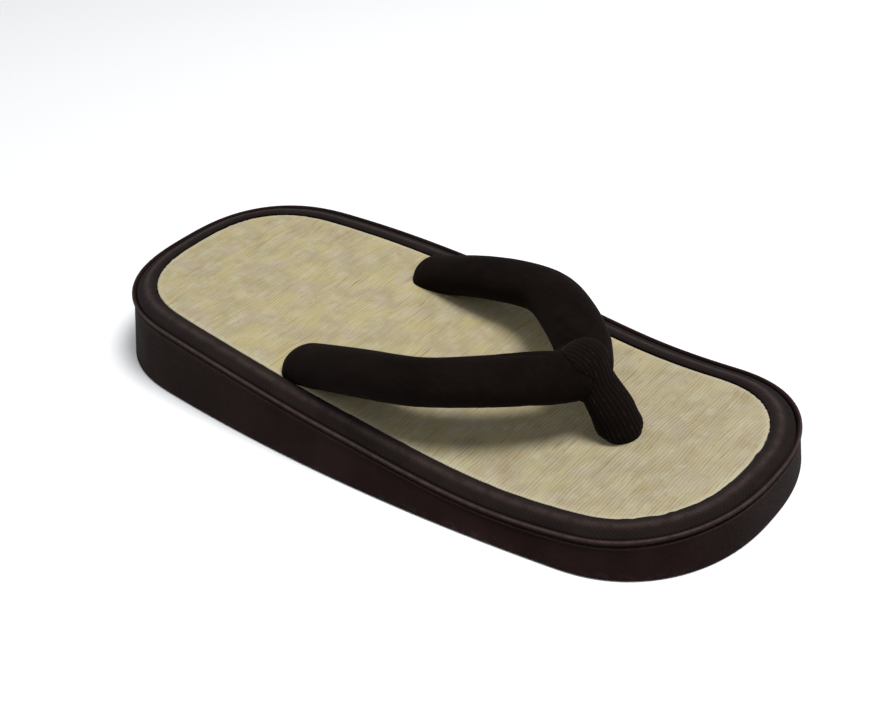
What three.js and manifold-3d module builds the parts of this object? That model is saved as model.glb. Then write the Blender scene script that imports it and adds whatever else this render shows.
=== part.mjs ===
// A zori: a straw-covered sandal on a low wedge sole, held on by a padded V-shaped strap
// and a front loop that goes down between the toes.
// Millimetres. X runs from heel to toe, Y to the wearer's left, Z up. The sole stands on Z = 0.

import * as THREE from 'three';
import Module from 'manifold-3d';
import { mergeVertices } from 'three/addons/utils/BufferGeometryUtils.js';

const wasm = await Module();
wasm.setup();

// ---- driving dimensions -------------------------------------------------------------

const RIM_LENGTH = 260;         // heel to toe along the upper edge of the sole
const RIM_MIDDLE = 2.3;         // where the middle of the rim lies along X
const WAIST_HALF_WIDTH = 54.5;  // half the width in the middle of the rim
const END_NARROWING = 9.9;      // how much less that is towards both ends
const HEEL_NARROWING = 0.3;     // the heel is narrower than the toe by this much each way
const HEEL_END = { reach: 46, squareness: 2.67 };
const TOE_END = { reach: 42.5, squareness: 2.38 };

// Height of the rim over the ground, from heel to toe in four equal steps.
const RIM_HEIGHT = [27.2, 23.6, 16.7, 9.9, 17.2];

const WALL_FLARE = 3.6;         // the foot of the wall stands out beyond the rim
const HEEL_RAKE = 1.0;          // and a little more behind the heel
const TOE_TUCK = 3.9;           // and is drawn back under the toe
const FOOT_CHAMFER = 0.8;
const GAP = 0.3;                // between pieces that lie against each other

const BINDING_WIDTH = 9.7;      // rim of the sole to the edge of the straw
const BEAD_WIDTH = 1.6;         // raised lip of the sole around the binding
const TRAY_DEPTH = 2.2;         // the straw and its binding lie in a tray this deep
const MAT_RISE = 1.0;           // the straw stands this far above the rim

const TREAD = { depth: 1.2, width: 2.5, pitch: 9, edge: 11 };
const TREAD_FIELDS = [{ from: -108, count: 8 }, { from: 14, count: 11 }];

const STATIONS = 104;           // points around each outline
const STRAP_SIDES = 20;
const STRAP_STEPS = 28;
const LOOP_STEPS = 12;

// The two arms of the strap, from the slot beside the heel to the front loop:
// position, half width across the foot and half thickness.
const LEFT_ARM = [
  { x: -27, y: 34.5, z: 21.5, width: 9.6, thick: 6.6 },
  { x: 2, y: 33.0, z: 29.0, width: 10.0, thick: 7.0 },
  { x: 27, y: 32.0, z: 31.5, width: 10.2, thick: 7.2 },
  { x: 46, y: 20.0, z: 32.5, width: 10.4, thick: 7.6 },
  { x: 58, y: 9.5, z: 32.0, width: 10.0, thick: 8.0 },
  { x: 64, y: 3.0, z: 30.5, width: 9.0, thick: 7.6 },
];
const RIGHT_ARM = [
  { x: -27, y: -35.0, z: 22.0, width: 9.8, thick: 6.8 },
  { x: 2, y: -38.0, z: 30.5, width: 10.2, thick: 7.2 },
  { x: 27, y: -35.5, z: 34.5, width: 10.2, thick: 7.2 },
  { x: 46, y: -24.0, z: 34.5, width: 10.4, thick: 7.6 },
  { x: 58, y: -12.0, z: 32.5, width: 10.0, thick: 8.0 },
  { x: 64, y: -4.0, z: 30.5, width: 9.0, thick: 7.6 },
];

// The front loop is one band round the joined arms. Its front strand comes over the top and
// forward into the sole; its back strand lies in the fork of the arms and turns in below them.
const LOOP_FRONT = [
  { x: 57.0, y: 0, z: 33.0, width: 7.0, thick: 3.4 },
  { x: 61.5, y: 0, z: 37.2, width: 8.8, thick: 3.6 },
  { x: 67.0, y: 0, z: 35.5, width: 8.8, thick: 4.2 },
  { x: 69.5, y: 0, z: 27.5, width: 8.2, thick: 5.2 },
  { x: 75.3, y: 0, z: 18.5, width: 8.8, thick: 6.9 },
  { x: 79.6, y: 0, z: 9.5, width: 7.6, thick: 6.2 },
];
const LOOP_BACK = [
  { x: 58.0, y: 0, z: 34.0, width: 6.6, thick: 3.2 },
  { x: 56.2, y: 0, z: 29.5, width: 6.4, thick: 3.2 },
  { x: 61.5, y: 0, z: 24.4, width: 5.6, thick: 3.0 },
  { x: 70.0, y: 0, z: 22.2, width: 5.2, thick: 2.8 },
];

// ---- outline of the foot ------------------------------------------------------------

const HALF_LENGTH = RIM_LENGTH / 2;

// Quarter of a squared-off ellipse: 0 at the tip, 1 from the end's reach onwards.
function roundEnd(fromTip, end) {
  const inward = Math.min(Math.max(1 - fromTip / end.reach, 0), 1);
  return (1 - inward ** end.squareness) ** (1 / end.squareness);
}

function halfWidth(x) {
  const along = x / HALF_LENGTH;
  const side = WAIST_HALF_WIDTH - END_NARROWING * along ** 2 + HEEL_NARROWING * along;
  return side * roundEnd(HALF_LENGTH + x, HEEL_END) * roundEnd(HALF_LENGTH - x, TOE_END);
}

function rimAt(angle) {
  const x = -HALF_LENGTH * Math.cos(angle);
  return new THREE.Vector2(x, -Math.sign(Math.sin(angle)) * halfWidth(x));
}

// Smooth curve through equally spaced heights.
function rimHeight(x) {
  const spans = RIM_HEIGHT.length - 1;
  const place = THREE.MathUtils.clamp((x / RIM_LENGTH + 0.5) * spans, -0.2, spans + 0.2);
  const i = THREE.MathUtils.clamp(Math.floor(place), 0, spans - 1);
  const u = place - i;
  const rise = RIM_HEIGHT[i + 1] - RIM_HEIGHT[i];
  const inner = (k) => (RIM_HEIGHT[k + 1] - RIM_HEIGHT[k - 1]) / 2;
  const start = i > 0 ? inner(i) : 1.5 * rise - inner(1) / 2;
  const end = i < spans - 1 ? inner(i + 1) : 1.5 * rise - inner(spans - 1) / 2;
  const bend = start + end - 2 * rise;
  return RIM_HEIGHT[i] + u * (start + u * (rise - start - bend + u * bend));
}

// A closed ring of points a given distance inside the rim and above its height.
function ring(inside, above) {
  const points = [];
  for (let i = 0; i < STATIONS; i += 1) {
    const angle = (2 * Math.PI * i) / STATIONS;
    const along = rimAt(angle + 0.01).sub(rimAt(angle - 0.01)).normalize();
    const p = rimAt(angle).add(new THREE.Vector2(-along.y, along.x).multiplyScalar(inside));
    points.push(new THREE.Vector3(p.x + RIM_MIDDLE, p.y, rimHeight(p.x) + above));
  }
  return points;
}

// The foot of the wall, on the ground.
function footRing(inside, height) {
  return ring(inside - WALL_FLARE, 0).map((p) => {
    const along = (p.x - RIM_MIDDLE) / HALF_LENGTH;
    const shift = along < 0 ? HEEL_RAKE : TOE_TUCK;
    return new THREE.Vector3(p.x - shift * along ** 2, p.y, height);
  });
}

function between(low, high, share) {
  return low.map((p, i) => p.clone().lerp(high[i], share));
}

// ---- solids -------------------------------------------------------------------------

function solid(points, faces) {
  return new wasm.Manifold(new wasm.Mesh({
    numProp: 3,
    vertProperties: new Float32Array(points.flatMap((p) => [p.x, p.y, p.z])),
    triVerts: new Uint32Array(faces.flat()),
  }));
}

function bandFaces(low, high, count) {
  const faces = [];
  for (let i = 0; i < count; i += 1) {
    const j = (i + 1) % count;
    faces.push([low + i, low + j, high + j], [low + i, high + j, high + i]);
  }
  return faces;
}

// Closes an outline with strips that run straight across the foot.
function acrossFaces(start, count) {
  const faces = [];
  for (let i = 0; i < count / 2; i += 1) {
    const left = (count - i) % count;
    const leftNext = count - i - 1;
    if (leftNext !== i + 1) faces.push([start + i, start + i + 1, start + leftNext]);
    if (left !== i) faces.push([start + i, start + leftNext, start + left]);
  }
  return faces;
}

function flipped(faces) {
  return faces.map(([a, b, c]) => [a, c, b]);
}

// Stacks outlines from the ground up and closes both ends.
function slab(rings) {
  const count = rings[0].length;
  const faces = flipped(acrossFaces(0, count));
  for (let i = 0; i + 1 < rings.length; i += 1) {
    faces.push(...bandFaces(i * count, (i + 1) * count, count));
  }
  faces.push(...acrossFaces((rings.length - 1) * count, count));
  return solid(rings.flat(), faces);
}

// Runs outlines round a closed section, so the solid is a hoop.
function hoop(rings) {
  const count = rings[0].length;
  const faces = rings.flatMap((_, i) => bandFaces(i * count, ((i + 1) % rings.length) * count, count));
  return solid(rings.flat(), faces);
}

function box(length, width, height, x, z) {
  const shape = new THREE.BoxGeometry(length, width, height);
  shape.deleteAttribute('normal');
  shape.deleteAttribute('uv');
  shape.translate(x, 0, z);
  const welded = mergeVertices(shape);
  const corners = [];
  for (let i = 0; i < welded.attributes.position.count; i += 1) {
    corners.push(new THREE.Vector3().fromBufferAttribute(welded.attributes.position, i));
  }
  const faces = [];
  for (let i = 0; i < welded.index.count; i += 3) faces.push([...welded.index.array.slice(i, i + 3)]);
  return solid(corners, faces);
}

// A padded tube through the rows of a table, with blunt rounded ends.
function paddedTube(rows, steps, extra) {
  const path = new THREE.CatmullRomCurve3(rows.map((r) => new THREE.Vector3(r.x, r.y, r.z)));
  const spans = rows.length - 1;
  const points = [];
  for (let step = 0; step <= steps; step += 1) {
    const t = (1 - Math.cos((Math.PI * step) / steps)) / 2;
    const i = Math.min(Math.floor(t * spans), spans - 1);
    const u = t * spans - i;
    const width = THREE.MathUtils.lerp(rows[i].width, rows[i + 1].width, u);
    const thick = THREE.MathUtils.lerp(rows[i].thick, rows[i + 1].thick, u);
    points.push({ t, centre: path.getPoint(t), forward: path.getTangent(t), width, thick });
  }
  return sweep(points, extra);
}

// Rings of the tube, plus domed ends that reach out by the local half thickness.
function sweep(stations, extra) {
  const rings = [];
  const dome = [0.985, 0.9, 0.7, 0.4];
  const first = stations[0];
  const last = stations[stations.length - 1];
  for (const reach of dome) rings.push(sectionRing(first, -reach, extra));
  for (const station of stations) rings.push(sectionRing(station, 0, extra));
  for (const reach of [...dome].reverse()) rings.push(sectionRing(last, reach, extra));
  const points = rings.flat();
  const faces = [];
  for (let i = 0; i + 1 < rings.length; i += 1) {
    faces.push(...bandFaces(i * STRAP_SIDES, (i + 1) * STRAP_SIDES, STRAP_SIDES));
  }
  const tail = (rings.length - 1) * STRAP_SIDES;
  for (let i = 1; i + 1 < STRAP_SIDES; i += 1) {
    faces.push([0, i + 1, i], [tail, tail + i, tail + i + 1]);
  }
  return solid(points, faces);
}

function sectionRing(station, reach, extra) {
  const across = new THREE.Vector3(0, 1, 0);
  across.addScaledVector(station.forward, -across.dot(station.forward)).normalize();
  const out = station.forward.clone().cross(across);
  const shrink = Math.sqrt(1 - reach ** 2);
  const width = (station.width + extra) * shrink;
  const thick = (station.thick + extra) * shrink;
  const centre = station.centre.clone();
  centre.addScaledVector(station.forward, reach * (station.thick + extra));
  const points = [];
  for (let i = 0; i < STRAP_SIDES; i += 1) {
    const angle = (2 * Math.PI * i) / STRAP_SIDES;
    const p = centre.clone().addScaledVector(across, width * Math.cos(angle));
    points.push(p.addScaledVector(out, thick * Math.sin(angle)));
  }
  return points;
}

// ---- pieces -------------------------------------------------------------------------

// Wedge of foam rubber: flared wall, a groove under the raised lip, a tray on top.
function wedgeSole() {
  const foot = footRing(0, FOOT_CHAMFER);
  const wallTop = ring(0.3, -2.6);
  return slab([
    footRing(FOOT_CHAMFER, 0),
    foot,
    between(foot, wallTop, 0.5),
    wallTop,
    ring(1.0, -2.1),
    ring(0.2, -1.5),
    ring(0, -0.7),
    ring(0.5, -0.1),
    ring(BEAD_WIDTH * 0.7, -0.1),
    ring(BEAD_WIDTH, -0.6),
    ring(BEAD_WIDTH, -TRAY_DEPTH),
  ]);
}

// Short bars cut across the underside of the heel and the forefoot.
function treadCuts() {
  return TREAD_FIELDS.flatMap(({ from, count }) => {
    const places = Array.from({ length: count }, (_, i) => from + i * TREAD.pitch);
    return places.map((x) => {
      const width = 2 * (halfWidth(x) + WALL_FLARE - TREAD.edge);
      return box(TREAD.width, width, 2 * TREAD.depth, x + RIM_MIDDLE, 0);
    });
  });
}

// Woven straw, one layer, cut to lie inside the binding.
function strawMat() {
  return slab([
    ring(BINDING_WIDTH, GAP - TRAY_DEPTH),
    ring(BINDING_WIDTH, MAT_RISE - 0.4),
    ring(BINDING_WIDTH + 0.4, MAT_RISE),
  ]);
}

// Cloth folded over a soft cord: a roll beside the straw, falling away to the lip.
function clothBinding() {
  const outer = BEAD_WIDTH + GAP;
  const inner = BINDING_WIDTH - GAP;
  const underside = GAP - TRAY_DEPTH;
  return hoop([
    ring(inner, underside),
    ring(outer, underside),
    ring(outer, -0.6),
    ring(outer + 1.0, -0.1),
    ring(outer + 2.2, 0.2),
    ring(inner - 3.9, 1.2),
    ring(inner - 2.8, 1.7),
    ring(inner - 1.6, 1.7),
    ring(inner - 0.6, 1.2),
    ring(inner, 0.3),
  ]);
}

function strap(extra) {
  return paddedTube(LEFT_ARM, STRAP_STEPS, extra).add(paddedTube(RIGHT_ARM, STRAP_STEPS, extra));
}

function loop(extra) {
  return paddedTube(LOOP_FRONT, LOOP_STEPS, extra).add(paddedTube(LOOP_BACK, LOOP_STEPS, extra));
}

function piece(name, shape, color, roughness) {
  const mesh = shape.getMesh();
  const geometry = new THREE.BufferGeometry();
  geometry.setAttribute('position', new THREE.BufferAttribute(mesh.vertProperties, 3));
  geometry.setIndex(new THREE.BufferAttribute(mesh.triVerts, 1));
  geometry.computeVertexNormals();
  const material = new THREE.MeshStandardMaterial({ color, roughness, metalness: 0 });
  const part = new THREE.Mesh(geometry, material);
  part.name = name;
  return part;
}

const strapRoom = strap(GAP);
const loopRoom = loop(GAP);
let soleShape = wedgeSole().subtract(strapRoom).subtract(loopRoom);
for (const cut of treadCuts()) soleShape = soleShape.subtract(cut);
const matShape = strawMat().subtract(strapRoom).subtract(loopRoom);
const bindingShape = clothBinding().subtract(strapRoom);
const loopShape = loop(0).subtract(strapRoom);

const group = new THREE.Group();
group.name = 'zori';
group.add(
  piece('sole', soleShape, '#221b18', 0.85),
  piece('straw_mat', matShape, '#b8ae90', 0.8),
  piece('binding', bindingShape, '#2a2120', 0.9),
  piece('upper', strap(0), '#151112', 0.95),
  piece('front_loop', loopShape, '#171214', 0.95),
);

export default group;
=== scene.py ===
"""A zori: a straw-topped sandal on a low rubber wedge, with a padded V strap and a toe loop.

Sizes are in millimetres until a point is put in a mesh, which is in metres. X runs from heel
to toe, Y to the wearer's left and Z up, as in the frame.
"""

import math

import bpy
import numpy as np
from mathutils import Matrix, Vector, noise


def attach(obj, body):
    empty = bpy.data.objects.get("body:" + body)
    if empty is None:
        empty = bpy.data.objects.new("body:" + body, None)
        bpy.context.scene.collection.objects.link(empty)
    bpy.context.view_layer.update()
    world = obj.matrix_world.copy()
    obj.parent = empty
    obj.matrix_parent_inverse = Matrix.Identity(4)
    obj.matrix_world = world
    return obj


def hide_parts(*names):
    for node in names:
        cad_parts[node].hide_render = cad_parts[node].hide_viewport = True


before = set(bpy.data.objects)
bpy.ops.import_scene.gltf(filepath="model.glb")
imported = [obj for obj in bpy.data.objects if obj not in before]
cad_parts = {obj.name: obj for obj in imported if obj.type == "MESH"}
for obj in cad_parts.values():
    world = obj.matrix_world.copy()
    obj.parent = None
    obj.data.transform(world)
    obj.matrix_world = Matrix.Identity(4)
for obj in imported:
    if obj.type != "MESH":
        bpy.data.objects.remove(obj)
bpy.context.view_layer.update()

MM = 0.001

# ---- outline of the foot -------------------------------------------------------------

HALF_LENGTH = 130.0
RIM_MIDDLE = 2.3
RIM_HEIGHT = [27.2, 23.6, 16.7, 9.9, 17.2]  # heel to toe in four equal steps
STATIONS = 480  # points around each outline
ANGLES = np.arange(STATIONS) * 2 * math.pi / STATIONS


def round_end(from_tip, reach, squareness):
    """Quarter of a squared-off ellipse: 0 at the tip, 1 from its reach onwards."""
    inward = np.clip(1 - from_tip / reach, 0, 1)
    return (1 - inward**squareness) ** (1 / squareness)


def half_width(x):
    along = x / HALF_LENGTH
    side = 54.5 - 9.9 * along**2 + 0.3 * along
    heel = round_end(HALF_LENGTH + x, 46, 2.67)
    return side * heel * round_end(HALF_LENGTH - x, 42.5, 2.38)


def rim_at(angle):
    x = -HALF_LENGTH * np.cos(angle)
    return np.stack([x, -np.sign(np.sin(angle)) * half_width(x)], 1)


def rim_height(x):
    """Smooth curve through the heights of the rim."""
    spans = len(RIM_HEIGHT) - 1
    place = np.clip((x / (2 * HALF_LENGTH) + 0.5) * spans, -0.2, spans + 0.2)
    i = np.clip(np.floor(place), 0, spans - 1).astype(int)
    u = place - i
    knots = np.array(RIM_HEIGHT)
    inner = np.zeros(len(knots))
    inner[1:-1] = (knots[2:] - knots[:-2]) / 2
    inner[0] = 1.5 * (knots[1] - knots[0]) - inner[1] / 2
    inner[-1] = 1.5 * (knots[-1] - knots[-2]) - inner[-2] / 2
    rise = knots[i + 1] - knots[i]
    bend = inner[i] + inner[i + 1] - 2 * rise
    return knots[i] + u * (inner[i] + u * (rise - inner[i] - bend + u * bend))


def ring(inside, above):
    """A row of points a given distance inside the rim and above its height."""
    step = rim_at(ANGLES + 0.01) - rim_at(ANGLES - 0.01)
    step /= np.linalg.norm(step, axis=1)[:, None]
    inward = np.stack([-step[:, 1], step[:, 0]], 1)
    flat = rim_at(ANGLES) + inward * np.broadcast_to(inside, STATIONS)[:, None]
    return np.column_stack([flat[:, 0] + RIM_MIDDLE, flat[:, 1], rim_height(flat[:, 0]) + above])


def foot_ring(inside, height):
    """The foot of the flared wall, raked behind the heel and tucked under the toe."""
    row = ring(inside - 3.6, 0)
    along = (row[:, 0] - RIM_MIDDLE) / HALF_LENGTH
    row[:, 0] -= np.where(along < 0, 1.0, 3.9) * along**2
    row[:, 2] = height
    return row


def drawn_in(row, shares):
    """The same outline drawn in towards the middle line of the foot."""
    return [row * [1, share, 1] for share in shares]


def ripple(points, size, seed):
    """Smooth noise between -1 and 1 at each point, of that size."""
    shift = Vector((seed * 17.3, seed * 5.1, seed * 9.7))
    return np.array([noise.noise(Vector(p) / size + shift) for p in points])


# ---- modelling -----------------------------------------------------------------------


def pick(piece):
    if bpy.context.object and bpy.context.object.mode != "OBJECT":
        bpy.ops.object.mode_set(mode="OBJECT")
    bpy.ops.object.select_all(action="DESELECT")
    bpy.context.view_layer.objects.active = piece
    piece.select_set(True)


def read_points(piece):
    points = np.empty(len(piece.data.vertices) * 3)
    piece.data.vertices.foreach_get("co", points)
    return points.reshape(-1, 3) / MM


def read_normals(piece):
    normals = np.empty(len(piece.data.vertices) * 3)
    piece.data.vertex_normals.foreach_get("vector", normals)
    return normals.reshape(-1, 3)


def put_points(piece, points):
    piece.data.vertices.foreach_set("co", (points * MM).ravel())
    piece.data.update()


def close_up(piece, smooth_angle=40):
    """Welds the seams, turns the faces outwards and shades the soft edges smooth."""
    pick(piece)
    bpy.ops.object.mode_set(mode="EDIT")
    bpy.ops.mesh.select_all(action="SELECT")
    bpy.ops.mesh.remove_doubles(threshold=0.002 * MM)
    bpy.ops.mesh.normals_make_consistent(inside=False)
    bpy.ops.object.mode_set(mode="OBJECT")
    bpy.ops.object.shade_smooth_by_angle(angle=math.radians(smooth_angle))


def lay_sheet(name, rows, tags=None):
    """Lays a flat grid over rows of points, each of which runs once round the piece.

    Its UV map is in millimetres, round the piece and up the rows. A tag is a number for each
    row, kept as the attribute "edge".
    """
    count = len(rows[0])
    bpy.ops.object.select_all(action="DESELECT")
    bpy.ops.mesh.primitive_grid_add(x_subdivisions=count, y_subdivisions=len(rows) - 1, size=1)
    piece = bpy.context.object
    piece.name = name
    piece.data.name = name
    wrapped = np.array([np.vstack([row, row[:1]]) for row in rows])
    put_points(piece, wrapped.reshape(-1, 3))
    steps = np.linalg.norm(np.diff(wrapped[len(rows) // 2], axis=0), axis=1)
    around = np.concatenate([[0], np.cumsum(steps)])
    rises = np.linalg.norm(np.diff(wrapped[:, count // 4], axis=0), axis=1)
    up = np.concatenate([[0], np.cumsum(rises)])
    layer = piece.data.uv_layers.active
    layer.name = "around"
    corners = np.empty(len(layer.uv) * 2)
    layer.uv.foreach_get("vector", corners)
    corners = corners.reshape(-1, 2)
    station = np.rint(corners[:, 0] * count).astype(int)
    row = np.rint(corners[:, 1] * (len(rows) - 1)).astype(int)
    layer.uv.foreach_set("vector", np.column_stack([around[station], up[row]]).ravel())
    if tags is not None:
        marks = piece.data.attributes.new("edge", "FLOAT", "POINT")
        marks.data.foreach_set("value", np.repeat(np.array(tags, float), count + 1))
    close_up(piece)
    return piece


def cut(piece, tool, keep_tool=False):
    """Takes the shape of the tool out of the piece."""
    pick(piece)
    bite = piece.modifiers.new("bite", "BOOLEAN")
    bite.operation = "DIFFERENCE"
    bite.solver = "EXACT"
    bite.object = tool
    bpy.ops.object.modifier_apply(modifier="bite")
    if not keep_tool:
        bpy.data.objects.remove(tool)


def finish_faces(piece, smooth_angle=40):
    pick(piece)
    bpy.ops.object.shade_smooth_by_angle(angle=math.radians(smooth_angle))


def copied(piece, name):
    twin = piece.copy()
    twin.data = piece.data.copy()
    twin.name = name
    bpy.context.scene.collection.objects.link(twin)
    return twin


def room_for(piece, clearance=0.3):
    """A closed copy of a piece, a little larger, to cut its room out of what holds it."""
    room = copied(piece, piece.name + "_room")
    put_points(room, read_points(room) + read_normals(room) * clearance)
    return room


def voxel_skin(piece, size):
    """One closed skin over all that the piece is made of."""
    pick(piece)
    piece.data.remesh_voxel_size = size * MM
    bpy.ops.object.voxel_remesh()


def smoothed(piece, factor, repeat):
    pick(piece)
    soft = piece.modifiers.new("soft", "SMOOTH")
    soft.factor = factor
    soft.iterations = repeat
    bpy.ops.object.modifier_apply(modifier="soft")


def subdivided(piece):
    pick(piece)
    finer = piece.modifiers.new("finer", "SUBSURF")
    finer.levels = 1
    finer.render_levels = 1
    bpy.ops.object.modifier_apply(modifier="finer")


# ---- sole ----------------------------------------------------------------------------

TREAD_DEPTH = 1.2
TREAD_WIDTH = 2.5
TREAD_PITCH = 9
TREAD_EDGE = 11
TREAD_FIELDS = [(-108, 8), (14, 11)]  # where each field of bars starts, and how many it has


def tread_bars():
    """Round-ended bars to press into the underside of the heel and the forefoot."""
    bars = []
    for start, count in TREAD_FIELDS:
        for i in range(count):
            x = start + i * TREAD_PITCH
            length = 2 * (float(half_width(np.array(x, float))) + 3.6 - TREAD_EDGE)
            bpy.ops.object.select_all(action="DESELECT")
            bpy.ops.mesh.primitive_cube_add(size=1, location=((x + RIM_MIDDLE) * MM, 0, 0))
            bar = bpy.context.object
            bar.scale = (TREAD_WIDTH * MM, length * MM, 2 * TREAD_DEPTH * MM)
            bpy.ops.object.transform_apply(location=True, rotation=False, scale=True)
            bpy.ops.object.mode_set(mode="EDIT")
            bpy.ops.mesh.select_all(action="SELECT")
            bpy.ops.mesh.bevel(offset=0.7 * MM, segments=3, affect="EDGES")
            bpy.ops.object.mode_set(mode="OBJECT")
            bars.append(bar)
    bpy.ops.object.select_all(action="DESELECT")
    for bar in bars:
        bar.select_set(True)
    bpy.context.view_layer.objects.active = bars[0]
    bpy.ops.object.join()
    return bars[0]


def moulded_sole():
    """Foam rubber wedge: flared wall, a lip under a groove, and a bead round the tray."""
    foot = foot_ring(0, 0.8)
    wall_top = ring(0.42, -3.5)
    # Distance inside the rim, height above it, and how much painted highlight the row takes.
    profile = [
        (0.26, -3.1, 0.1),
        (0.2, -2.85, 0.55),
        (0.4, -2.62, 0.15),
        (0.95, -2.35, 0),
        (1.1, -2.1, 0),
        (0.95, -1.85, 0),
        (0.3, -1.62, 0),
        (0.06, -1.3, 0.05),
        (0, -0.9, 0.15),
        (0.05, -0.52, 0.5),
        (0.2, -0.24, 1),
        (0.46, -0.1, 0.8),
        (0.8, -0.06, 0.1),
        (1.15, -0.12, 0),
        (1.4, -0.35, 0),
        (1.55, -0.7, 0),
        (1.6, -2.2, 0),
    ]
    under = drawn_in(foot_ring(0.8, 0), (0, 0.1, 0.25, 0.4, 0.55, 0.7, 0.82, 0.92, 0.98))
    chamfer = [foot_ring(0.8, 0), foot_ring(0.35, 0.1), foot_ring(0.08, 0.38), foot]
    wall = [foot + (wall_top - foot) * share for share in (0.1, 0.22, 0.36, 0.5, 0.64, 0.78, 0.9, 1)]
    lip = [ring(inside, above) for inside, above, _ in profile]
    tray = drawn_in(lip[-1], (0.96, 0.85, 0.7, 0.5, 0.3, 0.12, 0))
    rows = under + chamfer + wall + lip + tray
    plain = len(under) + len(chamfer) + len(wall)
    tags = [0] * plain + [painted_highlight for _, _, painted_highlight in profile] + [0] * len(tray)
    sole = lay_sheet("sole_rubber_wedge", rows, tags)
    cut(sole, tread_bars())
    return sole


# ---- straw mat -----------------------------------------------------------------------

STRAND = 1.25  # pitch of the straw strands, which run straight across the foot


def straw_top():
    """The mat: a cut edge where the strands end, a turned corner and a gently uneven top."""
    x = -HALF_LENGTH * np.cos(ANGLES)
    curve = np.clip((np.abs(x) - 84) / 36, 0, 1)
    steps = np.mod(x / STRAND, 1) - 0.5
    folded = np.minimum(ANGLES, 2 * math.pi - ANGLES)
    ends = ripple(np.column_stack([x, folded * 40, x * 0]), 1.1, 3)
    ragged = 0.1 * ends + 0.3 * curve * steps
    inside = 9.78 + np.clip(ragged, -0.2, 0.4)
    edge = [
        (0, -0.6),
        (0, 0.2),
        (0.04, 0.55),
        (0.16, 0.82),
        (0.42, 0.98),
        (1.0, 1.02),
        (1.9, 1.0),
    ]
    bottom = ring(inside, -1.9)
    rows = drawn_in(bottom, (0, 0.3, 0.6, 0.85)) + [bottom]
    rows += [ring(inside + more, above) for more, above in edge]
    shares = [1 - step / 25 for step in range(1, 26)]
    rows += drawn_in(rows[-1], shares)
    # The rows round the corner of the cut edge carry a painted highlight, kept in the attribute edge.
    tags = [0] * 5 + [0, 0.4, 0.8, 1, 0.9, 0.5, 0.1] + [0] * len(shares)
    mat = lay_sheet("straw_mat_woven", rows, tags)
    points = read_points(mat)
    height = points[:, 2] - rim_height(points[:, 0] - RIM_MIDDLE)
    flat = points * [1, 1, 0]
    swell = 0.2 * ripple(flat, 34, 1) + 0.09 * ripple(flat * [1, 0.7, 1], 9, 2)
    points[:, 2] += np.where(height > 0.7, swell - 0.06, 0)
    put_points(mat, points)
    return mat


# ---- cloth binding -------------------------------------------------------------------


def cloth_roll():
    """Cloth folded over a cord: a soft roll lapping the straw, falling away to the bead."""
    # Distance inside the rim, height above it, how loose the cloth is, how far it laps over
    # the straw, and how much painted highlight it takes.
    profile = [
        (9.4, -1.9, 0, 0, 0),
        (5.6, -1.9, 0, 0, 0),
        (1.95, -1.9, 0, 0, 0),
        (1.95, -1.2, 0, 0, 0),
        (2.0, -0.75, 0.2, 0, 0),
        (2.3, -0.38, 0.5, 0, 0),
        (2.9, -0.12, 0.7, 0, 0),
        (3.5, 0.02, 0.8, 0, 0),
        (4.1, 0.2, 0.9, 0, 0.05),
        (4.7, 0.52, 1, 0, 0.15),
        (5.2, 0.92, 1, 0, 0.4),
        (5.8, 1.34, 1, 0, 0.9),
        (6.4, 1.62, 1, 0, 1),
        (7.0, 1.76, 1, 0, 0.6),
        (7.6, 1.8, 1, 0.1, 0.25),
        (8.2, 1.74, 1, 0.3, 0.08),
        (8.7, 1.62, 0.9, 0.7, 0),
        (9.1, 1.48, 0.7, 1, 0),
        (9.32, 1.34, 0.5, 1, 0),
        (9.4, 1.26, 0.2, 0.5, 0),
        (9.4, 0.9, 0, 0, 0),
        (9.4, -0.5, 0, 0, 0),
        (9.4, -1.9, 0, 0, 0),
    ]
    along = rim_at(ANGLES)
    arc = np.cumsum(np.linalg.norm(np.diff(along, axis=0, append=along[:1]), axis=1))
    corner = np.clip((np.abs(along[:, 0]) - 78) / 30, 0.18, 1)
    track = np.column_stack([arc, arc * 0, arc * 0])
    gather = corner * 0.13 * ripple(track, 2.6, 5) + 0.1 * ripple(track, 16, 6)
    wander = 0.16 * ripple(track, 21, 7) + 0.1 * corner * ripple(track, 5, 8)
    tucks = np.clip(0.14 + 0.62 * ripple(track, 4.6, 9) + 0.3 * ripple(track, 1.9, 4), 0, 0.6)
    lap = (0.25 + 0.75 * corner) * tucks
    rows = [
        ring(
            np.clip(inside + wander * loose, 1.9, 9.42) + lap * over,
            above + gather * loose - 0.05 * loose,
        )
        for inside, above, loose, over, _ in profile
    ]
    return lay_sheet("binding_cloth_roll", rows, [row[4] for row in profile])


# ---- strap ---------------------------------------------------------------------------

# Each arm from its slot beside the heel to the front loop: place, half width across the
# foot and half thickness.
LEFT_ARM = [
    (-27, 34.5, 21.5, 9.6, 6.6),
    (2, 33.0, 29.0, 10.0, 7.0),
    (27, 32.0, 31.5, 10.2, 7.2),
    (46, 20.0, 32.5, 10.4, 7.6),
    (58, 9.5, 32.0, 10.0, 8.0),
    (64, 3.0, 30.5, 9.0, 7.6),
]
RIGHT_ARM = [
    (-27, -35.0, 22.0, 9.8, 6.8),
    (2, -38.0, 30.5, 10.2, 7.2),
    (27, -35.5, 34.5, 10.2, 7.2),
    (46, -24.0, 34.5, 10.4, 7.6),
    (58, -12.0, 32.5, 10.0, 8.0),
    (64, -4.0, 30.5, 9.0, 7.6),
]
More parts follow.
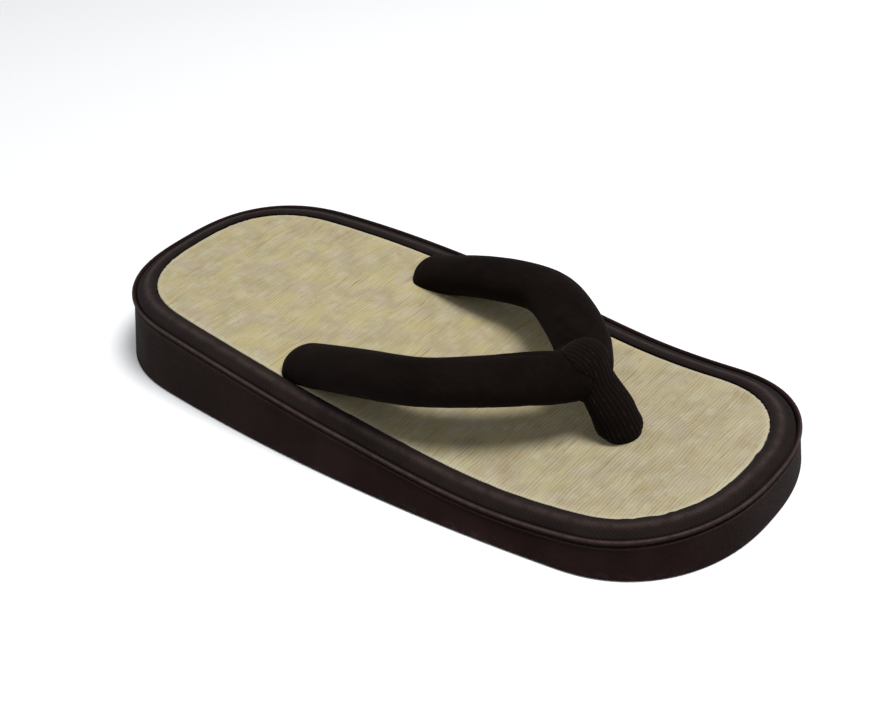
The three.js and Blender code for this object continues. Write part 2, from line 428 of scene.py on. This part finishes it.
# The loop is one band: up behind the joined arms, over them, and forward into the sole.
LOOP_FRONT = [
    (57.0, 0, 32.0, 7.2, 3.2),
    (61.5, 0, 36.6, 9.0, 3.5),
    (67.0, 0, 35.3, 8.9, 4.1),
    (69.5, 0, 27.5, 8.2, 4.7),
    (75.2, 0, 18.5, 8.9, 6.5),
    (79.6, 0, 9.5, 7.8, 6.4),
]
LOOP_BACK = [
    (58.0, 0, 33.0, 6.6, 3.2),
    (56.2, 0, 29.5, 6.4, 3.2),
    (61.5, 0, 24.4, 5.6, 3.0),
    (70.0, 0, 22.2, 5.2, 2.8),
]


def flow(points, place):
    """A point of the smooth curve through the points, at a place counted in spans."""
    points = [np.array(p, float) for p in points]
    points = [2 * points[0] - points[1]] + points + [2 * points[-1] - points[-2]]
    i = min(int(place), len(points) - 4)
    u = place - i
    a, b, c, d = points[i : i + 4]
    gaps = [math.sqrt(np.linalg.norm(q - p)) for p, q in ((a, b), (b, c), (c, d))]
    start = (b - a) / gaps[0] - (c - a) / (gaps[0] + gaps[1]) + (c - b) / gaps[1]
    end = (c - b) / gaps[1] - (d - b) / (gaps[1] + gaps[2]) + (d - c) / gaps[2]
    start *= gaps[1]
    end *= gaps[1]
    curve = -3 * b + 3 * c - 2 * start - end
    twist = 2 * b - 2 * c + start + end
    return b + u * (start + u * (curve + u * twist))


def padded_tube(name, table, steps, sides, thinner):
    """A stuffed tube through the rows of a table, with blunt domed ends."""
    table = np.array(table, float)
    spans = len(table) - 1
    stations = []
    for step in range(steps + 1):
        place = spans * (1 - math.cos(math.pi * step / steps)) / 2
        centre = flow(table[:, :3], place)
        ahead = flow(table[:, :3], min(place + 0.01, spans))
        behind = flow(table[:, :3], max(place - 0.01, 0))
        forward = (ahead - behind) / np.linalg.norm(ahead - behind)
        width, thick = (np.interp(place, range(spans + 1), table[:, k]) for k in (3, 4))
        stations.append((centre, forward, width - thinner, thick - thinner, 0))
    dome = (0.999, 0.97, 0.88, 0.72, 0.5, 0.25)
    first = [(*stations[0][:4], -reach) for reach in dome]
    last = [(*stations[-1][:4], reach) for reach in reversed(dome)]
    rows = [tube_row(station, sides) for station in first + stations + last]
    rows.insert(0, np.repeat(rows[0].mean(0)[None], sides, 0))
    rows.append(np.repeat(rows[-1].mean(0)[None], sides, 0))
    return lay_sheet(name, rows)


def tube_row(station, sides):
    centre, forward, width, thick, reach = station
    across = np.array([0, 1, 0]) - forward * forward[1]
    across /= np.linalg.norm(across)
    out = np.cross(forward, across)
    shrink = math.sqrt(1 - reach**2)
    turn = np.arange(sides) * 2 * math.pi / sides
    middle = centre + forward * reach * thick
    sideways = np.outer(np.cos(turn), across) * width * shrink
    return middle + sideways + np.outer(np.sin(turn), out) * thick * shrink


def joined(name, pieces):
    pick(pieces[0])
    for piece in pieces:
        piece.select_set(True)
    bpy.ops.object.join()
    pieces[0].name = name
    pieces[0].data.name = name
    return pieces[0]


def press(piece, folds):
    """Presses soft troughs into the cloth, each with a low ridge on both sides.

    A fold is its two ends, how deep it is and how wide.
    """
    points = read_points(piece)
    normals = read_normals(piece)
    push = np.zeros(len(points))
    for start, end, depth, width in folds:
        start = np.array(start, float)
        line = np.array(end, float) - start
        share = ((points - start) @ line) / (line @ line)
        near = start + np.clip(share, 0, 1)[:, None] * line
        away = np.linalg.norm(points - near, axis=1)
        fade = np.exp(-(np.clip(np.abs(share - 0.5) - 0.3, 0, None) / 0.22) ** 2)
        trough = np.exp(-((away / width) ** 2))
        ridge = np.exp(-(((away - 2.1 * width) / width) ** 2))
        push += fade * depth * (0.42 * ridge - trough)
    put_points(piece, points + normals * push[:, None])


def fill_out(piece, held, pressure, cap):
    """Blows the padding out with cloth that is held where a test says, up to a limit."""
    before = read_points(piece)
    group = piece.vertex_groups.new(name="held")
    for index in np.flatnonzero(held(before)):
        group.add([int(index)], 1.0, "REPLACE")
    cloth = piece.modifiers.new("cloth", "CLOTH")
    cloth.settings.quality = 6
    cloth.settings.mass = 0.001
    cloth.settings.tension_stiffness = 3
    cloth.settings.compression_stiffness = 3
    cloth.settings.shear_stiffness = 1
    cloth.settings.bending_stiffness = 0.05
    cloth.settings.use_pressure = True
    cloth.settings.uniform_pressure_force = pressure
    cloth.settings.vertex_group_mass = "held"
    cloth.settings.effector_weights.gravity = 0
    cloth.collision_settings.use_collision = False
    scene = bpy.context.scene
    for step in range(1, 21):
        scene.frame_set(step)
    shaped = piece.evaluated_get(bpy.context.evaluated_depsgraph_get())
    after = np.empty(len(before) * 3)
    shaped.data.vertices.foreach_get("co", after)
    move = after.reshape(-1, 3) / MM - before
    far = np.linalg.norm(move, axis=1)
    scene.frame_set(1)
    piece.modifiers.remove(cloth)
    piece.vertex_groups.clear()
    move *= np.minimum(1, cap / np.maximum(far, 1e-9))[:, None]
    put_points(piece, before + move)


ARM_STEPS = 44          # rings along each arm
ARM_SIDES = 36          # points round each ring
ARM_ROOM = 0.3          # each arm starts this much thinner, and the padding fills it out
STRAP_SKIN = 1.7        # size of the cells that join the two arms
REAR_HELD = -24         # the padding is held behind this place along the shoe
FRONT_HELD = 62         # and ahead of this one
PADDING_PRESSURE = 60
PADDING_LIMIT = 1.2     # the padding may push the cloth out this far

# Folds of the cloth: at the two slots, along the tops, and where the arms meet the loop.
STRAP_FOLDS = [
    ((-29.5, 26, 26), (-27.5, 41, 26), 0.38, 0.9),
    ((-24, 27, 29), (-22, 35, 31), 0.16, 1.0),
    ((-27, -43, 24), (-24, -33, 29), 0.2, 1.0),
    ((44, -30, 41), (55, -19, 42), 0.3, 1.3),
    ((46, -19, 41), (57, -10, 40), 0.4, 1.0),
    ((48, -13, 38), (57, -6, 37), 0.45, 0.8),
    ((50, -9, 35), (56, -4, 35), 0.4, 0.7),
    ((46, 12, 38), (55, 5, 38), 0.4, 0.9),
    ((46, 20, 40), (57, 12, 40), 0.22, 1.2),
    ((52, -3, 31), (57, -2, 38), 0.3, 0.8),
    ((52, 3, 31), (57, 2, 38), 0.3, 0.8),
]


def sewn_down(points):
    """Where the strap is held still: its rear ends, and under the loop."""
    return (points[:, 0] < REAR_HELD) | (points[:, 0] > FRONT_HELD)


def velvet_strap():
    """Both arms sewn into one padded V."""
    left = padded_tube("left", LEFT_ARM, ARM_STEPS, ARM_SIDES, ARM_ROOM)
    right = padded_tube("right", RIGHT_ARM, ARM_STEPS, ARM_SIDES, ARM_ROOM)
    strap = joined("upper_velvet_strap", [left, right])
    voxel_skin(strap, STRAP_SKIN)
    smoothed(strap, 0.5, 5)
    fill_out(strap, sewn_down, PADDING_PRESSURE, PADDING_LIMIT)
    subdivided(strap)
    smoothed(strap, 0.5, 3)
    press(strap, STRAP_FOLDS)
    finish_faces(strap, 80)
    return strap


# ---- front loop ----------------------------------------------------------------------

WALES = 28  # ribs round the band


def rib_place(points):
    """Which way round the band each point lies, from the nearest place on its path."""
    best = np.full(len(points), 1e9)
    angle = np.zeros(len(points))
    for table in (LOOP_FRONT, LOOP_BACK):
        rows = np.array(table, float)
        spans = len(rows) - 1
        for place in np.linspace(0, spans, 24 * spans):
            centre = flow(rows[:, :3], place)
            ahead = flow(rows[:, :3], min(place + 0.01, spans))
            behind = flow(rows[:, :3], max(place - 0.01, 0))
            forward = (ahead - behind) / np.linalg.norm(ahead - behind)
            across = np.array([0, 1.0, 0])
            out = np.cross(forward, across)
            width, thick = (np.interp(place, range(spans + 1), rows[:, k]) for k in (3, 4))
            offset = points - centre
            flat = (offset @ across / width) ** 2 + (offset @ out / thick) ** 2
            score = np.abs(offset @ forward) * 3 + np.abs(np.sqrt(flat) - 1)
            turn = np.arctan2(offset @ out / thick, offset @ across / width)
            closer = score < best
            best = np.where(closer, score, best)
            angle = np.where(closer, turn, angle)
    return angle


def ribbed_loop(strap):
    """The band over the joined arms, cut round the strap, and a closed copy to make its room; its cords are
    stood up later by raise_ribs.
    """
    front = padded_tube("front", LOOP_FRONT, 40, 48, 0.45)
    back = padded_tube("back", LOOP_BACK, 30, 40, 0.25)
    loop = joined("front_loop_ribbed_band", [front, back])
    voxel_skin(loop, 0.62)
    smoothed(loop, 0.5, 6)
    gather_foot(loop)
    hole = room_for(loop)
    cut(loop, room_for(strap, 0.25))
    return loop, hole


def gather_foot(loop):
    """Draws the band in where it goes down through the straw, so its foot bulges above it."""
    points = read_points(loop)
    foot = np.array([75.3, 0, 18.5])
    hole = np.array([78.9, 0, 11.4])
    drop = (points[:, 2] - hole[2]) / (foot[2] - hole[2])
    axis = hole + (foot - hole) * drop[:, None]
    neck = np.exp(-(((points[:, 2] - hole[2]) / 1.3) ** 2))
    belly = np.exp(-(((points[:, 2] - 14.2) / 2.0) ** 2))
    low = np.clip((22 - points[:, 2]) / 3, 0, 1)[:, None]
    scale = 1 - 0.2 * neck + 0.07 * belly
    pulled = axis + (points - axis) * np.column_stack([scale, scale, scale * 0 + 1])
    put_points(loop, points + (pulled - points) * low)


def raise_ribs(loop):
    """Stands the cords up; they are worn down where the band lies over the arms."""
    subdivided(loop)
    points = read_points(loop)
    normals = read_normals(loop)
    angle = rib_place(points)
    wale = np.cos(angle * WALES)
    shown = np.clip((points[:, 2] - 11) / 3, 0, 1) * np.clip((43 - points[:, 2]) / 11, 0.15, 1)
    put_points(loop, points + normals * (0.09 * wale * shown)[:, None])
    marks = loop.data.attributes.new("wale", "FLOAT", "POINT")
    marks.data.foreach_set("value", wale.astype(np.float32))
    finish_faces(loop, 80)


# ---- finishes ------------------------------------------------------------------------


class Wire:
    """A shader socket that works in sums, so that a pattern reads as one expression."""

    def __init__(self, finish, socket):
        self.finish = finish
        self.socket = socket

    def sum_with(self, operation, other, swapped=False):
        pair = {0: other, 1: self} if swapped else {0: self, 1: other}
        return self.finish.node("Math", {"operation": operation}, pair)

    def __add__(self, other):
        return self.sum_with("ADD", other)

    def __radd__(self, other):
        return self.sum_with("ADD", other, True)

    def __sub__(self, other):
        return self.sum_with("SUBTRACT", other)

    def __rsub__(self, other):
        return self.sum_with("SUBTRACT", other, True)

    def __mul__(self, other):
        return self.sum_with("MULTIPLY", other)

    def __rmul__(self, other):
        return self.sum_with("MULTIPLY", other, True)

    def __truediv__(self, other):
        return self.sum_with("DIVIDE", other)

    def __pow__(self, other):
        return self.sum_with("POWER", other)


class Finish:
    """A material in the making: its nodes and the one shader they feed."""

    def __init__(self, name):
        self.material = bpy.data.materials.new(name)
        self.material.use_nodes = True
        self.tree = self.material.node_tree
        self.tree.nodes.clear()

    def node(self, kind, settings=None, inputs=None, output=0):
        """Adds a node, sets it up, joins or sets its sockets, and gives one output."""
        made = self.tree.nodes.new("ShaderNode" + kind)
        for key, value in (settings or {}).items():
            if key == "stops":
                self.set_stops(made.color_ramp, value)
            else:
                setattr(made, key, value)
        for key, value in (inputs or {}).items():
            if isinstance(value, Wire):
                self.tree.links.new(value.socket, made.inputs[key])
            else:
                made.inputs[key].default_value = value
        return Wire(self, made.outputs[output]) if made.outputs else None

    def set_stops(self, ramp, stops):
        while len(ramp.elements) < len(stops):
            ramp.elements.new(0.5)
        for element, (position, level) in zip(ramp.elements, stops):
            element.position = position
            element.color = (level, level, level, 1)

    def place(self, stretch=(1, 1, 1)):
        """Where the point is on the object, in millimetres, stretched for a pattern."""
        spot = self.node("TexCoord", None, None, "Object")
        return self.vector("MULTIPLY", spot, tuple(1000 * s for s in stretch))

    def vector(self, operation, first, second):
        return self.node("VectorMath", {"operation": operation}, {0: first, 1: second})

    def apart(self, vector):
        split = self.node("SeparateXYZ", None, {0: vector}).socket.node
        return [Wire(self, output) for output in split.outputs]

    def together(self, x, y, z):
        return self.node("CombineXYZ", None, {0: x, 1: y, 2: z})

    def noise(self, vector, scale, detail=2.0, roughness=0.5):
        inputs = {"Vector": vector, "Scale": scale, "Detail": detail, "Roughness": roughness}
        return self.node("TexNoise", None, inputs, 0)

    def within(self, value, low, high):
        """0 below the low end, 1 above the high end, and smooth between them."""
        settings = {"interpolation_type": "SMOOTHSTEP", "clamp": True}
        return self.node("MapRange", settings, {0: value, 1: low, 2: high, 3: 0.0, 4: 1.0})

    def maths(self, operation, *values):
        return self.node("Math", {"operation": operation}, dict(enumerate(values)))

    def colour(self, share, first, second, how="MIX"):
        settings = {"data_type": "RGBA", "blend_type": how}
        return self.node("Mix", settings, {0: share, 6: first, 7: second}, 2)

    def bump(self, height, strength, distance):
        inputs = {"Height": height, "Strength": strength, "Distance": distance * MM}
        return self.node("Bump", None, inputs)

    def show(self, inputs):
        shader = self.node("BsdfPrincipled", None, inputs)
        self.node("OutputMaterial", None, {0: shader})
        return self.material


def paint(red, green, blue):
    return (red, green, blue, 1.0)


def foam_rubber():
    """Dark brown foam rubber: fine pebbled skin, painted highlights along the lip and the bead, and a little
    dust at the foot.
    """
    f = Finish("foam_rubber_dark")
    x, _, z = f.apart(f.place())
    edge = f.node("Attribute", {"attribute_name": "edge"}, None, "Fac")
    cloudy = f.noise(f.place(), 0.06, 3.0)
    pebble = f.noise(f.place(), 1.5, 2.0, 0.6)
    grain = f.noise(f.place(), 4.5, 2.0, 0.6)
    toe = f.within(x, 20.0, 115.0)
    dust = (1 - f.within(z, 0.3, 3.2)) * f.within(f.noise(f.place(), 0.35, 3.0), 0.45, 0.72)
    # Painted highlight along the lip and the bead, broken into patches.
    painted_highlight = edge * (0.55 + 0.45 * f.within(f.noise(f.place(), 0.3, 3.0, 0.6), 0.3, 0.65))
    base = f.colour(f.within(cloudy, 0.3, 0.7), paint(0.0095, 0.0038, 0.0031), paint(0.0150, 0.0070, 0.0061))
    speck = f.within(grain, 0.56, 0.76) * f.within(pebble, 0.4, 0.65) * (0.35 + 0.65 * toe)
    base = f.colour(speck, base, paint(0.03, 0.019, 0.017))
    base = f.colour(dust * 0.3, base, paint(0.05, 0.04, 0.036))
    base = f.colour(painted_highlight * 0.8, base, paint(0.07, 0.05, 0.046))
    height = pebble * (0.35 + 0.75 * toe) + grain * 0.3
    return f.show({
        "Base Color": base,
        "Roughness": 0.6 + 0.2 * grain - 0.14 * painted_highlight,
        "Specular IOR Level": 0.045,
        "Normal": f.bump(height, 0.8, 0.7),
    })


def woven_straw():
    """Pale straw laid straight across the foot, in soft blocks over hidden lengthways yarns."""
    f = Finish("straw_pale_woven")
    x, y, _ = f.apart(f.place())
    wander = f.noise(f.place((0.5, 1, 1)), 0.05, 2.0)
    run = x / STRAND + wander * 3.0
    strand = f.maths("FLOOR", run)
    each = f.node("TexWhiteNoise", {"noise_dimensions": "1D"}, {"W": strand}, "Value")
    round_top = f.maths("SINE", (run - strand) * math.pi)
    yarn = y / 9.5 + f.noise(f.place(), 0.045, 3.0) * 1.5
    column = f.maths("FLOOR", yarn)
    dip = f.maths("ABSOLUTE", f.maths("SINE", yarn * math.pi))
    drift = f.noise(f.place((1, 1, 0)), 0.05, 3.0)
    lift = f.maths("SINE", x * (math.pi / 8.5) + column * math.pi + drift * 9.0)
    mottle = f.within(f.noise(f.place((1, 1, 0)), 0.16, 3.0, 0.6), 0.38, 0.66)
    block = f.within(lift * dip, -0.35, 0.6) * (0.35 + 0.65 * mottle)
    patch = f.noise(f.place((1, 1, 0)), 0.075, 2.0, 0.55)
    moved = f.vector("ADD", f.place((1, 1, 0)), (310.0, 90.0, 0.0))
    blush = f.within(f.noise(moved, 0.085, 2.0, 0.55), 0.46, 0.66)
    long_fibre = f.noise(f.together((x + wander * 4.0) * 0.62, y * 0.045, 0.0), 1.0, 3.0, 0.62)
    short_fibre = f.noise(f.together((x + wander * 4.0) * 1.7, y * 0.11, 5.0), 1.0, 3.0, 0.65)
    browned = f.within(f.noise(f.place((1, 0.55, 0)), 0.05, 2.0, 0.5), 0.46, 0.7)
    toe = f.within(x, 10.0, 110.0)
    edge = f.node("Attribute", {"attribute_name": "edge"}, None, "Fac")
    base = f.colour(f.within(patch, 0.36, 0.62), paint(0.37, 0.335, 0.212), paint(0.415, 0.352, 0.178))
    base = f.colour(blush * 0.7, base, paint(0.365, 0.305, 0.24))
    base = f.colour(toe * 0.5, base, paint(0.35, 0.31, 0.23))
    base = f.colour(block * 0.5, base, paint(0.46, 0.42, 0.295))
    base = f.colour((1 - mottle) * f.within(1 - patch, 0.4, 0.6) * 0.5, base, paint(0.32, 0.25, 0.12))
    # Flecks of browner and paler straw.
    fleck = f.noise(f.place((1, 0.6, 0)), 0.42, 3.0, 0.65)
    base = f.colour(f.within(fleck, 0.54, 0.72) * 0.4, base, paint(0.27, 0.22, 0.135))
    base = f.colour(f.within(1 - fleck, 0.55, 0.72) * 0.4, base, paint(0.42, 0.38, 0.29))
    base = f.colour(f.within(short_fibre, 0.52, 0.75) * 0.4, base, paint(0.5, 0.46, 0.33))
    base = f.colour(f.within(1 - short_fibre, 0.52, 0.72) * 0.28, base, paint(0.25, 0.19, 0.1))
    dark_strand = f.within(long_fibre, 0.55, 0.68) * (0.12 + 0.5 * browned)
    base = f.colour(dark_strand, base, paint(0.22, 0.155, 0.075))
    base = f.colour(each * 0.16, base, paint(0.28, 0.22, 0.12))
    # Painted shade in the grooves between some of the strands.
    groove_shade = (1 - f.within(round_top, 0.05, 0.5)) * f.within(long_fibre, 0.4, 0.62)
    base = f.colour(groove_shade * 0.34, base, paint(0.15, 0.105, 0.05))
    # Painted highlight along the rounded corner of the mat's cut edge.
    base = f.colour(edge * 0.45, base, paint(0.55, 0.51, 0.38))
    # A faint film of age over the whole mat.
    base = f.colour(0.14, base, paint(0.07, 0.05, 0.02))
    height = round_top * 0.45 + dip * 0.3 + block * 0.35 + short_fibre * 0.8 + each * 0.2
    return f.show({
        "Base Color": base,
        "Roughness": 0.55 + 0.2 * short_fibre,
        "Specular IOR Level": 0.2,
        "Normal": f.bump(height, 0.6, 0.45),
    })


def binding_cloth():
    """Dark brown plain-woven cloth, with a painted highlight along the crest of the roll."""
    f = Finish("binding_cloth_dark")
    u, v, _ = f.apart(f.node("UVMap", {"uv_map": "around"}, None))
    slack = f.noise(f.together(u * 0.1, v * 0.2, 0.0), 1.0, 2.0)
    warp = f.maths("SINE", (u * 1.35 + slack * 2.0) * math.pi)
    weft = f.maths("SINE", v * (1.35 * math.pi))
    weave = warp * weft
    lint = f.noise(f.place(), 2.2, 3.0, 0.65)
    crest_highlight_breakup = f.noise(f.place((1, 1, 1)), 0.25, 3.0, 0.6)
    cloudy = f.noise(f.place(), 0.09, 3.0)
    edge = f.node("Attribute", {"attribute_name": "edge"}, None, "Fac")
    base = f.colour(f.within(cloudy, 0.3, 0.7), paint(0.0052, 0.0026, 0.0022), paint(0.0085, 0.0048, 0.0042))
    # Painted highlight along the crest of the roll, in patches; the paler lint flecks below sit only on it.
    crest = edge * (0.5 + 0.5 * f.within(crest_highlight_breakup, 0.35, 0.62))
    base = f.colour(crest * 0.85, base, paint(0.036, 0.0235, 0.0215))
    base = f.colour(edge * f.within(lint, 0.5, 0.72) * 0.45, base, paint(0.05, 0.037, 0.034))
    base = f.colour(f.within(weave, 0.1, 0.9) * 0.25, base, paint(0.022, 0.0145, 0.013))
    return f.show({
        "Base Color": base,
        "Roughness": 0.72 + 0.16 * lint,
        "Specular IOR Level": 0.08,
        "Sheen Weight": 0.03,
        "Sheen Roughness": 0.5,
        "Normal": f.bump(weave * 0.35 + lint * 0.9, 0.55, 0.3),
    })


def strap_velvet():
    """Black velvet whose short pile lies this way and that."""
    f = Finish("strap_velvet_black")
    lie = f.noise(f.place((0.7, 1, 1)), 0.075, 3.0, 0.55)
    pile = f.noise(f.place(), 5.5, 2.0, 0.7)
    brushed = f.noise(f.place((0.45, 1.4, 1.4)), 0.55, 3.0, 0.6)
    tone = f.within(lie, 0.35, 0.68) * 0.6 + f.within(brushed, 0.4, 0.75) * 0.4
    base = f.colour(tone, paint(0.0026, 0.0013, 0.0008), paint(0.0058, 0.0032, 0.0026))
    base = f.colour(f.within(pile, 0.5, 0.8) * 0.35, base, paint(0.0105, 0.0068, 0.006))
    return f.show({
        "Base Color": base,
        "Roughness": 0.8 + 0.15 * pile,
        "Specular IOR Level": 0.04,
        "Sheen Weight": 0.022,
        "Sheen Roughness": 0.35,
        "Sheen Tint": paint(0.95, 0.75, 0.72),
        "Normal": f.bump(pile * 0.5 + brushed * 0.6, 0.45, 0.25),
    })


def loop_cloth():
    """Fuzzy ribbed cloth: the cords catch light in short broken dashes."""
    f = Finish("loop_cloth_ribbed")
    wale = f.node("Attribute", {"attribute_name": "wale"}, None, "Fac")
    dash = f.noise(f.place((1, 1, 0.6)), 0.8, 3.0, 0.65)
    fuzz = f.noise(f.place(), 5.0, 2.0, 0.7)
    crest = f.within(wale, 0.0, 0.9)
    base = f.colour(crest, paint(0.0029, 0.0015, 0.0011), paint(0.0052, 0.0029, 0.0023))
    base = f.colour(crest * f.within(dash, 0.54, 0.68) * 0.75, base, paint(0.019, 0.0125, 0.011))
    return f.show({
        "Base Color": base,
        "Roughness": 0.82 + 0.12 * fuzz,
        "Specular IOR Level": 0.05,
        "Sheen Weight": 0.03,
        "Sheen Roughness": 0.4,
        "Sheen Tint": paint(0.95, 0.78, 0.74),
        "Normal": f.bump(fuzz * 0.7 + dash * 0.5, 0.5, 0.3),
    })


def studio_paper():
    f = Finish("studio_paper")
    faint = f.noise(f.place(), 0.004, 2.0)
    base = f.colour(faint, paint(0.79, 0.8, 0.815), paint(0.81, 0.815, 0.825))
    return f.show({"Base Color": base, "Roughness": 0.75, "Specular IOR Level": 0.2})


# ---- studio --------------------------------------------------------------------------


def studio():
    bpy.ops.object.select_all(action="DESELECT")
    bpy.ops.mesh.primitive_plane_add(size=6)
    floor = bpy.context.object
    floor.name = "studio_floor"
    floor.data.materials.append(studio_paper())
    softbox("softbox_toe_side", (0.4, 0.1, 1.1), 0.5, 15.5)
    softbox("softbox_near_side", (0.5, -1.1, 0.8), 1.2, 1.3)
    softbox("softbox_heel_side", (-1.1, -0.2, 0.7), 0.9, 2.5)
    world = bpy.data.worlds.new("studio_air")
    bpy.context.scene.world = world
    world.use_nodes = True
    air = world.node_tree.nodes["Background"]
    air.inputs["Color"].default_value = paint(0.97, 0.985, 1.0)
    air.inputs["Strength"].default_value = 0.4


def softbox(name, place, size, power):
    aim = Vector((0, 0, 0.02)) - Vector(place)
    turn = aim.to_track_quat("-Z", "Y").to_euler()
    bpy.ops.object.light_add(type="AREA", location=place, rotation=turn)
    lamp = bpy.context.object
    lamp.name = name
    lamp.data.shape = "DISK"
    lamp.data.size = size
    lamp.data.energy = power


def stand_camera():
    place = Vector((0.27305, -0.2876, 0.27821))
    look = Vector((0.002, 0, 0.014)) - place
    upright = look.to_track_quat("-Z", "Y").to_matrix()
    turn = upright @ Matrix.Rotation(math.radians(-7.33), 3, "Z")
    bpy.ops.object.camera_add(location=place, rotation=turn.to_euler())
    camera = bpy.context.object
    camera.name = "studio_camera"
    camera.data.sensor_width = 36
    camera.data.lens = 56
    camera.data.clip_start = 0.01
    bpy.context.scene.camera = camera


# ---- making it -----------------------------------------------------------------------


def hand_over(piece, node, material):
    piece.data.materials.clear()
    piece.data.materials.append(material)
    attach(piece, "root")
    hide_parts(node)


studio()
stand_camera()

strap = velvet_strap()
loop, loop_room = ribbed_loop(strap)
sole = moulded_sole()
mat = straw_top()
binding = cloth_roll()
strap_room = room_for(strap)
for piece in (sole, mat, binding):
    cut(piece, strap_room, keep_tool=True)
for piece in (sole, mat):
    cut(piece, loop_room, keep_tool=True)
bpy.data.objects.remove(strap_room)
bpy.data.objects.remove(loop_room)
raise_ribs(loop)
for piece in (sole, mat, binding):
    finish_faces(piece)

hand_over(sole, "sole", foam_rubber())
hand_over(mat, "straw_mat", woven_straw())
hand_over(binding, "binding", binding_cloth())
hand_over(strap, "upper", strap_velvet())
hand_over(loop, "front_loop", loop_cloth())

bpy.context.scene.view_settings.view_transform = "Standard"
